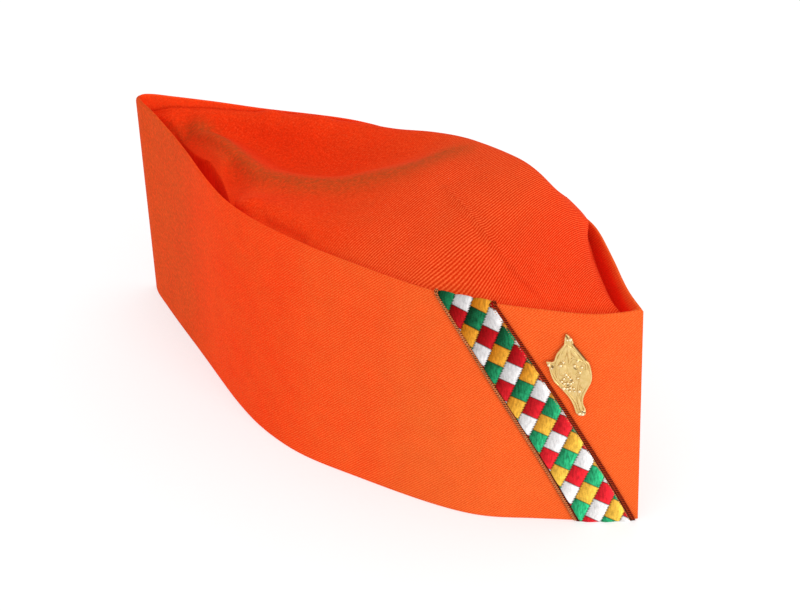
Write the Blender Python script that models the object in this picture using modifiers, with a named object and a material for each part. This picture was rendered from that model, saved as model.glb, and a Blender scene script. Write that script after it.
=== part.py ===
# A pahadi cap: a twill side cap with a free-standing band, a crown with a lengthwise valley,
# a checked ribbon laid slantwise at the front and a cast flower bud pin.
#
# The cap stands on its rim. +X runs to its front tip, -Y to the side that carries the ribbon,
# +Z up. The origin is the middle of the base, on the surface that the cap stands on.

import math

import bmesh
import bpy
import numpy as np
from mathutils import Matrix, Vector

MM = 0.001

# Driving sizes, in metres
BACK_RIM = 0.135         # from the middle to the back tip at the rim, then at the base
BACK_BASE = 0.133
FRONT_RIM = 0.1304       # from the middle to the front tip at the rim, then at the base
FRONT_BASE = 0.135
BAND_HEIGHT = 0.102
BACK_CORNER = 0.004      # the rim's corner at the back tip is rounded off
BAND_SLOT = 0.001        # the band's two walls are sewn together where they come this close
CROWN_SLOT = 0.0034      # and the crown's where they come this close
BAND_WALL = 0.0020       # two layers of twill
CROWN_WALL = 0.0013
GAP = 0.0003             # between pieces that lie on each other

RIBBON_WIDTH = 0.0243    # measured level along the wall
RIBBON_THICK = 0.0006
RIBBON_TOP = 0.0676      # middle of the ribbon at the rim, along the wall from the front tip
RIBBON_FOOT = 0.0129     # and at the base
RIBBON_BOW = 0.0026      # how far its middle bows towards the front tip
RIBBON_TURN_IN = 0.007   # length turned over the rim and down inside the band
SELVEDGE_BACK = 0.0015
SELVEDGE_FRONT = 0.0021
SELVEDGE_RISE = 0.0002   # each cord stands this much proud of the weave, the front one twice

BADGE_PLACE = 0.0267     # middle of the badge, along the wall from the front tip
BADGE_UP = 0.0742        # and above the base
BADGE_TILT = math.radians(9.5)
BADGE_PLATE = 0.0010
BADGE_RIM = 0.0007
RIM_OUTER = 0.96         # the rim's outer and inner edge on top and its foot, as shares of the
RIM_INNER = 0.88         # badge's outline
RIM_FOOT = 0.83
PETAL_RISE = 0.0008
POST_RADIUS = 0.0006
POST_HOLE_RADIUS = 0.0009
POST_ROOT = 0.0004       # how far the post is let into the plate
CLUTCH_RADIUS = 0.0035
CLUTCH_THICK = 0.0010

# The band's plan. A place is in hundredths of the way from the middle to the back tip (below
# nothing) or to the front tip. The half widths are in millimetres: the near and the far side
# at the rim, and both sides at the base.
PLAN_COLUMNS = ("place", "near_rim", "far_rim", "base")
PLAN_ROWS = (
    (-100, 0.0, 0.0, 0.0),
    (-98.5, 2.2, 2.6, 2.4),
    (-90, 6.2, 8.2, 8.2),
    (-76, 14.2, 16.9, 16.8),
    (-61, 23.5, 25.5, 25.6),
    (-46, 33.8, 35.0, 34.7),
    (-31, 42.0, 42.6, 43.5),
    (-15, 45.1, 46.0, 50.2),
    (0, 44.9, 46.2, 52.6),
    (23, 43.0, 45.2, 49.0),
    (46, 39.0, 43.0, 43.9),
    (61, 32.8, 39.0, 38.0),
    (76, 24.0, 24.8, 24.6),
    (92, 12.3, 6.6, 9.6),
    (100, 0.0, 0.0, 0.0),
)

# The crown's cross section at places along the cap. The pulls are how far the skirt stands off
# the band at its top. The places across are fractions of the way from the near skirt to the
# far one. Heights are millimetres above the base. The dip is the sag between roll and crest.
CROWN_COLUMNS = ("x", "near_pull", "near_top", "roll", "roll_z", "dip", "crest", "crest_z",
                 "valley", "valley_z", "hump", "hump_z", "far_top", "far_pull")
CROWN_ROWS = (
    (-126, 0.0, 92, 0.15, 93.0, 0.0, 0.34, 94.5, 0.62, 94.5, 0.82, 95.5, 95, 0.0),
    (-105, 4.0, 83, 0.12, 90.5, 0.0, 0.28, 95.5, 0.62, 94.0, 0.85, 97.0, 98, 0.0),
    (-85, 6.5, 78, 0.10, 91.5, 0.0, 0.29, 100.5, 0.66, 92.5, 0.86, 97.0, 99, 0.0),
    (-65, 7.0, 78, 0.08, 91.5, 0.0, 0.25, 101.5, 0.60, 91.5, 0.88, 101.5, 100, 0.3),
    (-54, 5.5, 80, 0.08, 92.5, 0.5, 0.26, 102.0, 0.58, 91.0, 0.90, 104.0, 100, 0.3),
    (-42, 2.0, 96, 0.07, 102.5, 2.0, 0.30, 103.0, 0.60, 92.5, 0.91, 106.0, 100, 0.3),
    (-20, 2.0, 98, 0.08, 104.5, 2.0, 0.37, 106.5, 0.64, 98.0, 0.91, 110.0, 101, 0.3),
    (0, 2.0, 98, 0.08, 104.5, 1.0, 0.52, 112.0, 0.70, 108.5, 0.90, 116.0, 101, 0.3),
    (25, 2.0, 98, 0.07, 102.5, -1.5, 0.60, 119.0, 0.75, 121.0, 0.89, 121.5, 102, 0.3),
    (50, 2.0, 98, 0.05, 100.5, -2.0, 0.55, 118.0, 0.72, 122.0, 0.88, 122.5, 102, 0.3),
    (65, 2.0, 98, 0.06, 100.0, -2.0, 0.50, 114.5, 0.70, 118.5, 0.86, 118.5, 101, 0.5),
    (80, 2.0, 97, 0.08, 99.5, -1.5, 0.45, 109.5, 0.65, 111.5, 0.84, 109.5, 99, 1.0),
    (95, 2.0, 96, 0.13, 99.0, -1.0, 0.45, 105.0, 0.64, 105.0, 0.86, 102.0, 94, 2.2),
    (110, 2.0, 94, 0.15, 97.5, 0.0, 0.45, 100.5, 0.62, 100.5, 0.84, 98.5, 91, 2.2),
    (124, 0.6, 92, 0.15, 94.0, 0.0, 0.45, 96.0, 0.60, 96.0, 0.80, 95.0, 90, 1.2),
)
CROWN_STEPS = (3, 3, 4, 6, 6, 4)    # points from one named fold across the crown to the next
PULL_FROM = 0.35         # the skirt follows the band up to this share of its height

# The badge's outline in millimetres, right and up from its middle, anticlockwise from the top
BADGE_OUTLINE = (
    (0.5, 18.9), (-0.5, 16.0), (-1.2, 14.4), (-4.7, 10.7), (-6.4, 7.2), (-9.1, 7.4),
    (-8.6, 5.4), (-8.5, 2.4), (-7.8, -2.1), (-5.8, -5.6), (-3.0, -11.0), (-1.8, -15.6),
    (-1.4, -19.1), (-0.2, -20.1), (1.8, -19.7), (2.1, -17.7), (1.6, -14.8), (2.3, -11.5),
    (4.5, -7.6), (6.6, -4.0), (7.3, -0.3), (7.1, 4.4), (6.0, 5.9), (3.4, 10.7),
    (1.7, 13.9), (1.9, 15.8), (1.4, 18.3),
)

# The badge's petals: where each starts and ends in millimetres, and how wide it is
PETAL_COLUMNS = ("from_x", "from_y", "to_x", "to_y", "width")
PETAL_ROWS = (
    (0.3, 14.0, -4.6, 5.0, 2.4),
    (0.6, 14.5, -1.4, 4.6, 2.4),
    (0.9, 14.0, 1.9, 4.4, 2.2),
    (1.3, 12.5, 4.8, 4.6, 1.8),
    (-6.4, 4.8, -4.4, -4.6, 2.2),
    (4.9, 4.2, 2.6, -6.6, 3.2),
)

# The beads at the badge's lower left: each row's first bead in millimetres, and the row's count
BEAD_COLUMNS = ("x", "y", "count")
BEAD_ROWS = (
    (-6.0, -1.2, 4),
    (-5.4, -2.9, 4),
    (-4.5, -4.6, 3),
    (-3.5, -6.3, 2),
)
BEAD_RADIUS = 0.00072
BEAD_STEP = (1.5, 0.5)   # from one bead of a row to the next, in millimetres


def table(columns, rows):
    return {name: np.array([row[i] for row in rows], float) for i, name in enumerate(columns)}


def named_rows(columns, rows):
    return [dict(zip(columns, row)) for row in rows]


PLAN = table(PLAN_COLUMNS, PLAN_ROWS)
CROWN = table(CROWN_COLUMNS, CROWN_ROWS)


def smooth(x, xs, ys):
    # A cubic through the rows that never overshoots them: flat at a high or low row, straight
    # beyond the ends.
    x = np.asarray(x, float)
    step = np.diff(xs)
    slope = np.diff(ys) / step
    tangent = np.zeros(len(xs))
    tangent[0], tangent[-1] = slope[0], slope[-1]
    before, after = slope[:-1], slope[1:]
    same_way = before * after > 0
    total = np.where(same_way, before + after, 1.0)
    tangent[1:-1] = np.where(same_way, 2 * before * after / total, 0.0)
    i = np.clip(np.searchsorted(xs, x, side="right") - 1, 0, len(step) - 1)
    t = np.clip((x - xs[i]) / step[i], 0, 1)
    curve = (ys[i] * (1 + 2 * t) * (1 - t) ** 2 + tangent[i] * step[i] * t * (1 - t) ** 2
             + ys[i + 1] * t * t * (3 - 2 * t) - tangent[i + 1] * step[i] * t * t * (1 - t))
    beyond = np.minimum(x - xs[0], 0) * tangent[0] + np.maximum(x - xs[-1], 0) * tangent[-1]
    return curve + beyond


def plan_half(side, x, z):
    # Half width of the band's outer face at a height, all in metres
    up = z / BAND_HEIGHT
    front = FRONT_BASE + (FRONT_RIM - FRONT_BASE) * up
    back = BACK_BASE + (BACK_RIM - BACK_BASE) * up
    place = 100 * x / np.where(np.asarray(x) > 0, front, back)
    rim = smooth(place, PLAN["place"], PLAN[side + "_rim"])
    base = smooth(place, PLAN["place"], PLAN["base"])
    return (base + (rim - base) * up) * MM


def inset_half(side, x, z, inset):
    # The same, less an inset measured square to the wall
    step = 0.5 * MM
    slope = (plan_half(side, x + step, z) - plan_half(side, x - step, z)) / (2 * step)
    return plan_half(side, x, z) - inset * np.sqrt(1 + slope * slope)


def find_tip(width, start, end):
    # The x between start (wide) and end (past the tip) where the width falls to nothing
    for _ in range(50):
        middle = (start + end) / 2
        if width(middle) > 0:
            start = middle
        else:
            end = middle
    return start


def stations(count=40, ease=0.45):
    # Places from 0 at the back tip to 1 at the front tip, closer together at the tips. Band and
    # crown share them, so their facets lie side by side.
    t = np.linspace(0, 1, count + 1)
    return (1 - ease) * t + ease * (1 - np.cos(np.pi * t)) / 2


def ring(places, inset_of, z_of, narrowest=0.0):
    # A closed ring of points: the near side from the back tip to the front tip, then the far
    # side. inset_of and z_of give the inset and the height for a side and an x. The ring's tips
    # are where it would get narrower than the narrowest width.
    def half(side, x):
        z = z_of(side, x)
        return inset_half(side, x, z, inset_of(side, x, z))

    def width(x):
        return half("near", x) + half("far", x) - narrowest

    back = find_tip(width, 0.0, -BACK_RIM - 2 * MM)
    front = find_tip(width, 0.0, FRONT_BASE + 2 * MM)
    xs = back + (front - back) * places
    near = [Vector((x, -half("near", x), z_of("near", x))) for x in xs]
    far = [Vector((x, half("far", x), z_of("far", x))) for x in xs]
    for i in (0, -1):
        near[i] = (near[i] + far[i]) / 2
    return near, far


def link(ob, collection):
    collection.objects.link(ob)
    return ob


def mesh_object(name, bm, collection):
    bmesh.ops.recalc_face_normals(bm, faces=bm.faces)
    mesh = bpy.data.meshes.new(name)
    bm.to_mesh(mesh)
    bm.free()
    mesh.shade_smooth()
    mesh.set_sharp_from_angle(angle=math.radians(40))
    return link(bpy.data.objects.new(name, mesh), collection)


def material(name, colour, roughness, metallic=0.0):
    mat = bpy.data.materials.new(name)
    mat.use_nodes = True
    shader = mat.node_tree.nodes["Principled BSDF"]
    shader.inputs["Base Color"].default_value = (*colour, 1)
    shader.inputs["Roughness"].default_value = roughness
    shader.inputs["Metallic"].default_value = metallic
    mat.diffuse_color = (*colour, 1)
    return mat


def bridge(bm, low, high, closed=True):
    # Quads between two rows of vertices
    count = len(low)
    for i in range(count if closed else count - 1):
        j = (i + 1) % count
        bm.faces.new((low[i], low[j], high[j], high[i]))


def make_band(collection):
    # The wall's section: up the outer face, round the folded rim, down the inner face
    rise = 4
    fold = 4
    base_round = 0.4 * MM
    radius = BAND_WALL / 2
    section = [(base_round, 0.0), (0.0, base_round)]
    top = BAND_HEIGHT - radius
    section += [(0.0, top * k / rise) for k in range(1, rise + 1)]
    section += [(radius - radius * math.cos(math.pi * k / fold),
                 top + radius * math.sin(math.pi * k / fold)) for k in range(1, fold)]
    section += [(BAND_WALL, top * k / rise) for k in range(rise, 0, -1)]
    section += [(BAND_WALL, base_round), (BAND_WALL - base_round, 0.0)]

    def rim_fall(x):
        inside = np.clip((x + BACK_RIM) / BACK_CORNER, 0, 1)
        return BACK_CORNER * (1 - np.sqrt(1 - (1 - inside) ** 2))

    bm = bmesh.new()
    rows = []
    for inset, z in section:
        near, far = ring(stations(), lambda side, x, h, i=inset: i,
                         lambda side, x, h=z: h * (1 - rim_fall(x) / BAND_HEIGHT),
                         BAND_SLOT * inset / BAND_WALL)
        rows.append([bm.verts.new(p) for p in near + far[-2:0:-1]])
    for low, high in zip(rows, rows[1:] + rows[:1]):
        bridge(bm, low, high)
    return mesh_object("band", bm, collection)


def crown_value(column, x):
    return smooth(x / MM, CROWN["x"], CROWN[column])


def skirt_top(side, x):
    return crown_value(side + "_top", x) * MM


def crown_section(x, near, far):
    # Points across the crown's top at one place, from the near skirt to the far one. Each named
    # fold keeps its own point, so the folds run along the mesh's edges.
    dip_at = (crown_value("roll", x) + crown_value("crest", x)) / 2
    dip_z = (crown_value("roll_z", x) + crown_value("crest_z", x)) / 2 - crown_value("dip", x)
    across = [0.0, crown_value("roll", x), dip_at, crown_value("crest", x),
              crown_value("valley", x), crown_value("hump", x), 1.0]
    heights = [near.z / MM, crown_value("roll_z", x), dip_z, crown_value("crest_z", x),
               crown_value("valley_z", x), crown_value("hump_z", x), far.z / MM]
    ys = near.y + (far.y - near.y) * np.array(across)
    zs = np.array(heights) * MM
    run = np.concatenate(([0], np.cumsum(np.hypot(np.diff(ys), np.diff(zs)))))
    at = [start + (end - start) * k / count
          for start, end, count in zip(run, run[1:], CROWN_STEPS) for k in range(count)]
    at.append(run[-1])
    return [Vector((x, y, z)) for y, z in zip(smooth(at, run, ys), smooth(at, run, zs))]


def make_crown(collection):
    # One open sheet, given its wall by Solidify: the skirt's rings, then the top across them
    levels = 5
    places = stations()
    stand_off = BAND_WALL + GAP

    def pulled(side, x, z):
        up = np.clip((z / skirt_top(side, x) - PULL_FROM) / (1 - PULL_FROM), 0, 1)
        pull = np.maximum(crown_value(side + "_pull", x), 0) * MM
        return stand_off + pull * up * up * (3 - 2 * up)

    bm = bmesh.new()
    rows = []
    for k in range(levels + 1):
        near, far = ring(places, pulled, lambda side, x, f=k / levels: skirt_top(side, x) * f,
                         CROWN_SLOT)
        rows.append([bm.verts.new(p) for p in near + far[-2:0:-1]])
    for low, high in zip(rows, rows[1:]):
        bridge(bm, low, high)

    rim = rows[-1]
    last = len(places) - 1
    previous = []
    for i in range(1, last):
        near, far = rim[i], rim[-i]
        middle = crown_section(near.co.x, near.co, far.co)[1:-1]
        row = [near] + [bm.verts.new(p) for p in middle] + [far]
        if i == 1:
            for a, b in zip(row, row[1:]):
                bm.faces.new((rim[0], a, b))
        else:
            bridge(bm, previous, row, closed=False)
        previous = row
    for a, b in zip(previous, previous[1:]):
        bm.faces.new((rim[last], b, a))

    crown = mesh_object("crown", bm, collection)
    wall = crown.modifiers.new("Wall", "SOLIDIFY")
    wall.thickness = CROWN_WALL
    wall.offset = -1
    wall.use_even_offset = True
    wall.use_rim = True
    return crown


def wall_place(s, z):
    # A point of the near wall's outer face, s metres along it from the front tip, with the
    # wall's outward direction there
    tip = FRONT_BASE + (FRONT_RIM - FRONT_BASE) * z / BAND_HEIGHT
    xs = np.linspace(tip, -tip, 525)
    ys = -plan_half("near", xs, z)
    run = np.concatenate(([0], np.cumsum(np.hypot(np.diff(xs), np.diff(ys)))))
    x, y = np.interp(s, run, xs), np.interp(s, run, ys)
    step = 2 * MM
    ahead = np.array([np.interp(s + step, run, xs), np.interp(s + step, run, ys)])
    behind = np.array([np.interp(max(s - step, 0), run, xs), np.interp(max(s - step, 0), run, ys)])
    along = (ahead - behind) / np.linalg.norm(ahead - behind)
    out = Vector((-along[1], along[0], 0))
    if out.y > 0:
        out = -out
    return Vector((x, y, z)), out


def make_ribbon(collection):
    # The ribbon's section: its back lies on the wall, its face is flat between two selvedges
    half = RIBBON_WIDTH / 2
    face = RIBBON_THICK
    rise = SELVEDGE_RISE
    cord_back, cord_front = SELVEDGE_BACK - half, half - SELVEDGE_FRONT
    section = [(-half, 0), (-half, face), (-half + rise, face + rise), (cord_back, face + rise)]
    left, right = cord_back + rise, cord_front - rise
    flat = 6
    section += [(left + (right - left) * k / flat, face) for k in range(flat + 1)]
    section += [(cord_front, face + 2 * rise), (half - rise, face + 2 * rise), (half, face)]
    section += [(half - RIBBON_WIDTH * k / flat, 0) for k in range(flat)]

    # The rows run from inside the band, up, round the rim and down to the base. A row is a
    # height and the turn round the rim: half a turn inside the band, none outside it.
    radius = BAND_WALL / 2
    top = BAND_HEIGHT - radius
    fold = 6
    drop = 14
    rows = [(top - RIBBON_TURN_IN * k / 2, math.pi) for k in (2, 1)]
    rows += [(top, math.pi * k / fold) for k in range(fold, 0, -1)]
    rows += [(top * (1 - k / drop), 0.0) for k in range(drop + 1)]

    bm = bmesh.new()
    loops = []
    for z, turn in rows:
        down = (top - z) / top if turn == 0 else (z - top - radius * turn) / top
        middle = RIBBON_TOP + (RIBBON_FOOT - RIBBON_TOP) * down
        middle -= 4 * RIBBON_BOW * down * (1 - down)
        loop = []
        for across, height in section:
            point, out = wall_place(middle - across, z)
            lift = radius + GAP + height
            way = out * math.cos(turn) + Vector((0, 0, 1)) * math.sin(turn)
            loop.append(bm.verts.new(point - out * radius + way * lift))
        loops.append(loop)
    for low, high in zip(loops, loops[1:]):
        bridge(bm, low, high)
    for loop in (loops[0], loops[-1]):
        bm.faces.new(loop)
    return mesh_object("ribbon", bm, collection)


def badge_frame():
    # The badge's place: X right towards the front, Y up the wall, Z out of it
    point, out = wall_place(BADGE_PLACE, BADGE_UP)
    above, _ = wall_place(BADGE_PLACE, BADGE_UP + 5 * MM)
    up = (above - point).normalized()
    right = up.cross(out).normalized()
    out = right.cross(up)
    turn = Matrix.Rotation(BADGE_TILT, 3, out)
    axes = Matrix((turn @ right, turn @ up, out)).transposed()
    return Matrix.Translation(point) @ axes.to_4x4()


def petal(start, end, width):
    # Half of a flattened ball stands out of the plate, long from start to end
    bm = bmesh.new()
    bmesh.ops.create_uvsphere(bm, u_segments=12, v_segments=8, radius=1)
    along = end - start
    bmesh.ops.scale(bm, vec=(along.length / 2, width / 2, PETAL_RISE), verts=bm.verts)
    turn = Matrix.Rotation(math.atan2(along.y, along.x), 3, "Z")
    bmesh.ops.rotate(bm, matrix=turn, verts=bm.verts)
    bmesh.ops.translate(bm, vec=(*((start + end) / 2), GAP + BADGE_PLATE), verts=bm.verts)
    return bm


def bead(x, y):
    bm = bmesh.new()
    bmesh.ops.create_uvsphere(bm, u_segments=8, v_segments=6, radius=BEAD_RADIUS)
    up = GAP + BADGE_PLATE + BEAD_RADIUS / 4
    bmesh.ops.translate(bm, vec=(x, y, up), verts=bm.verts)
    return bm


def post():
    # From inside the plate through the band to the clutch's inner face
    top = GAP + POST_ROOT
    bottom = -BAND_WALL - GAP - CLUTCH_THICK
    bm = bmesh.new()
    bmesh.ops.create_cone(bm, cap_ends=True, segments=12, radius1=POST_RADIUS,
                          radius2=POST_RADIUS, depth=top - bottom)
    bmesh.ops.translate(bm, vec=(0, 0, (top + bottom) / 2), verts=bm.verts)
    return bm


def make_badge(collection, cutters):
    # The plate: its outline, then a raised rim round a lower field
    middle = Vector((sum(x for x, y in BADGE_OUTLINE), sum(y for x, y in BADGE_OUTLINE)))
    middle /= len(BADGE_OUTLINE)
    face = GAP + BADGE_PLATE
    steps = ((1.0, GAP), (1.0, face), (RIM_OUTER, face + BADGE_RIM), (RIM_INNER, face + BADGE_RIM),
             (RIM_FOOT, face))
    bm = bmesh.new()
    rows = []
    for scale, z in steps:
        outline = [middle + (Vector(point) - middle) * scale for point in BADGE_OUTLINE]
        rows.append([bm.verts.new((p.x * MM, p.y * MM, z)) for p in outline])
    for low, high in zip(rows, rows[1:]):
        bridge(bm, low, high)
    bm.faces.new(rows[0])
    bm.faces.new(rows[-1])
    badge = mesh_object("badge", bm, collection)
    badge.matrix_world = badge_frame()

    raised = [post()]
    for row in named_rows(PETAL_COLUMNS, PETAL_ROWS):
        start = Vector((row["from_x"], row["from_y"])) * MM
        end = Vector((row["to_x"], row["to_y"])) * MM
        raised.append(petal(start, end, row["width"] * MM))
    for row in named_rows(BEAD_COLUMNS, BEAD_ROWS):
        for k in range(row["count"]):
            raised.append(bead((row["x"] + BEAD_STEP[0] * k) * MM,
                               (row["y"] + BEAD_STEP[1] * k) * MM))
    for bm in raised:
        piece = mesh_object("badge_relief", bm, cutters)
        piece.matrix_world = badge_frame()
        piece.hide_render = True
        piece.display_type = "WIRE"
        union = badge.modifiers.new("Union", "BOOLEAN")
        union.operation = "UNION"
        union.object = piece
    return badge


def make_clutch(collection):
    bm = bmesh.new()
    segments = 20
    rows = []
    section = ((POST_HOLE_RADIUS, 0.0), (CLUTCH_RADIUS, 0.0), (CLUTCH_RADIUS, -CLUTCH_THICK),
               (POST_HOLE_RADIUS, -CLUTCH_THICK))
    for radius, z in section:
        rows.append([bm.verts.new((radius * math.cos(a), radius * math.sin(a), z))
                     for a in (2 * math.pi * k / segments for k in range(segments))])
    for low, high in zip(rows, rows[1:] + rows[:1]):
        bridge(bm, low, high)
    clutch = mesh_object("badge_clutch", bm, collection)
    clutch.matrix_world = badge_frame() @ Matrix.Translation((0, 0, -BAND_WALL - GAP))
    return clutch


def cut_post_hole(band, cutters):
    bm = bmesh.new()
    bmesh.ops.create_cone(bm, cap_ends=True, segments=12, radius1=POST_HOLE_RADIUS,
                          radius2=POST_HOLE_RADIUS, depth=4 * BAND_WALL)
    cutter = mesh_object("post_hole", bm, cutters)
    cutter.matrix_world = badge_frame()
    cutter.hide_render = True
    cutter.display_type = "WIRE"
    cut = band.modifiers.new("Post hole", "BOOLEAN")
    cut.operation = "DIFFERENCE"
    cut.object = cutter


def main():
    for ob in list(bpy.data.objects):
        bpy.data.objects.remove(ob, do_unlink=True)
    parts = bpy.data.collections.new("pahadi_cap")
    cutters = bpy.data.collections.new("cutters")
    for collection in (parts, cutters):
        bpy.context.scene.collection.children.link(collection)

    twill = material("orange_twill", (0.95, 0.11, 0.02), 0.8)
    crown_twill = material("crown_twill", (0.85, 0.08, 0.02), 0.8)
    weave = material("checked_weave", (0.75, 0.7, 0.6), 0.6)
    gold = material("pale_gold", (0.83, 0.62, 0.25), 0.3, 1.0)
    steel = material("clutch_metal", (0.6, 0.6, 0.6), 0.35, 1.0)

    band = make_band(parts)
    cut_post_hole(band, cutters)
    crown = make_crown(parts)
    ribbon = make_ribbon(parts)
    badge = make_badge(parts, cutters)
    clutch = make_clutch(parts)
    for ob, mat in ((band, twill), (crown, crown_twill), (ribbon, weave), (badge, gold),
                    (clutch, steel)):
        ob.data.materials.append(mat)


main()
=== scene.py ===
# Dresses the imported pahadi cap: twill band and crown, satin check ribbon, cast gold bud pin.
# Metres throughout. +X is the cap's front tip, -Y the side with the ribbon, +Z up.

import math

import bpy
import numpy as np
from mathutils import Matrix, Vector
from mathutils.bvhtree import BVHTree


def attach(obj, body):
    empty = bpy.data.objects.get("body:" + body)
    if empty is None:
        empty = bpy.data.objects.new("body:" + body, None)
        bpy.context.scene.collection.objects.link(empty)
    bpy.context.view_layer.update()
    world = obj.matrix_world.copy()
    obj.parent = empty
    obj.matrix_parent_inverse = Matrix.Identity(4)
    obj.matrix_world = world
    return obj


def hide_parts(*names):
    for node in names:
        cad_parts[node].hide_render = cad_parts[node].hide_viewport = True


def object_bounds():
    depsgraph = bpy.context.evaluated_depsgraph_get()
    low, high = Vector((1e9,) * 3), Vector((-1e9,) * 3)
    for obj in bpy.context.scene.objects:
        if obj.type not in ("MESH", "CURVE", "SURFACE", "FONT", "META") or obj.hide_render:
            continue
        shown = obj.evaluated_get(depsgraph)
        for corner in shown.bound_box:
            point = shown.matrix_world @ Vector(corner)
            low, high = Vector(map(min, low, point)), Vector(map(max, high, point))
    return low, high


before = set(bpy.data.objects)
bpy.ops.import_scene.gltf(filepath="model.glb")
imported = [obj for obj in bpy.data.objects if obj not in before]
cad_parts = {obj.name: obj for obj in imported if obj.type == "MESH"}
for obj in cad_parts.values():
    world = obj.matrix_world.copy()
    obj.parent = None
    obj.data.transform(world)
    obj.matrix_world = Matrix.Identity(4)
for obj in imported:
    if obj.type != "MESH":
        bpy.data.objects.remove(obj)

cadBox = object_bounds()
mm = 0.001
farAway = 0.3   # where rays start, well outside the cap


# Shaping helpers

def treeOf(node):
    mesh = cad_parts[node].data
    return BVHTree.FromPolygons([v.co for v in mesh.vertices], [p.vertices for p in mesh.polygons])


def castOn(tree, start, way):
    hit = tree.ray_cast(Vector(start), Vector(way))[0]
    return hit if hit else Vector((math.nan,) * 3)


def fillGaps(values):
    # Rays that just miss a thin edge take their neighbours' value
    good = ~np.isnan(values)
    return np.interp(np.arange(len(values)), np.flatnonzero(good), values[good])


def soften(values, times, axis=0):
    # Averages each place with its neighbours; the ends stay
    values = np.moveaxis(np.array(values, float), axis, 0)
    for _ in range(times):
        values[1:-1] = (values[:-2] + 2 * values[1:-1] + values[2:]) / 4
    return np.moveaxis(values, 0, axis)


def stations(count, crowding=0.45):
    # Places from 0 at the back tip to 1 at the front tip, closer together at the tips
    t = np.linspace(0, 1, count + 1)
    return (1 - crowding) * t + crowding * (1 - np.cos(np.pi * t)) / 2


def runAlong(points):
    steps = np.linalg.norm(np.diff(points, axis=0), axis=1)
    return np.concatenate(([0], np.cumsum(steps)))


def ease(value, low, high):
    t = np.clip((value - low) / (high - low), 0, 1)
    return t * t * (3 - 2 * t)


def graded(points, base, *steps):
    # A base value and, for each step, its amount times how far a point is along its ranges
    for amount, *ranges in steps:
        for axis, start, end in ranges:
            amount = amount * ease(points[..., "xyz".index(axis)] / mm, start, end)
        base = base + amount
    return base


def outwards(points):
    # Unit normals of a grid of points
    along = np.gradient(points, axis=1)
    up = np.gradient(points, axis=0)
    normal = np.cross(along, up)
    return normal / np.maximum(np.linalg.norm(normal, axis=2, keepdims=True), 1e-12)


def distanceTo(points, line):
    # From each point to the nearest place on a line of points
    best = np.full(points.shape[:-1], np.inf)
    for a, b in zip(line, line[1:]):
        a, b = np.array(a), np.array(b)
        share = np.clip(((points - a) @ (b - a)) / ((b - a) @ (b - a)), 0, 1)
        best = np.minimum(best, np.linalg.norm(points - a - share[..., None] * (b - a), axis=-1))
    return best


def chosenOnly(piece):
    bpy.ops.object.select_all(action="DESELECT")
    piece.select_set(True)
    bpy.context.view_layer.objects.active = piece


def added(primitive, **settings):
    bpy.ops.object.select_all(action="DESELECT")
    primitive(**settings)
    return bpy.context.object


def clothGrid(name, points, cloth):
    # A grid with its vertices moved to points (rows, columns, 3) and its UV map in metres
    rows, columns = points.shape[:2]
    piece = added(bpy.ops.mesh.primitive_grid_add, x_subdivisions=columns - 1,
                  y_subdivisions=rows - 1, size=1)
    piece.name = piece.data.name = name
    mesh = piece.data
    mesh.vertices.foreach_set("co", points.astype(np.float32).ravel())
    corners = np.empty(len(mesh.loops), np.int32)
    mesh.loops.foreach_get("vertex_index", corners)
    uvMap = mesh.uv_layers[0]
    uvMap.name = "cloth"
    uvMap.data.foreach_set("uv", cloth.reshape(-1, 2)[corners].astype(np.float32).ravel())
    mesh.update()
    return piece


def weld(piece, distance=2e-6, closed=False):
    chosenOnly(piece)
    bpy.ops.object.mode_set(mode="EDIT")
    bpy.ops.mesh.select_all(action="SELECT")
    bpy.ops.mesh.remove_doubles(threshold=distance)
    bpy.ops.mesh.dissolve_degenerate(threshold=distance)
    if closed:
        bpy.ops.mesh.select_all(action="SELECT")
        bpy.ops.mesh.normals_make_consistent(inside=False)
    bpy.ops.object.mode_set(mode="OBJECT")


def applied(piece, kind, **settings):
    chosenOnly(piece)
    modifier = piece.modifiers.new(kind.title(), kind)
    for name, value in settings.items():
        setattr(modifier, name, value)
    bpy.ops.object.modifier_apply(modifier=modifier.name)


def smoothShaded(piece, degrees):
    chosenOnly(piece)
    bpy.ops.object.shade_smooth_by_angle(angle=math.radians(degrees))


def joined(pieces, name):
    chosenOnly(pieces[0])
    for piece in pieces:
        piece.select_set(True)
    bpy.ops.object.join()
    whole = bpy.context.object
    whole.name = whole.data.name = name
    return whole


def placed(piece, place):
    # Puts a piece's place in its mesh, so the object stays at the origin
    piece.data.transform(place)
    piece.data.update()


def dress(piece, material, replaced=None):
    piece.data.materials.clear()
    piece.data.materials.append(material)
    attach(piece, "root")
    if replaced:
        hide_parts(replaced)


# Materials

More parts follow.
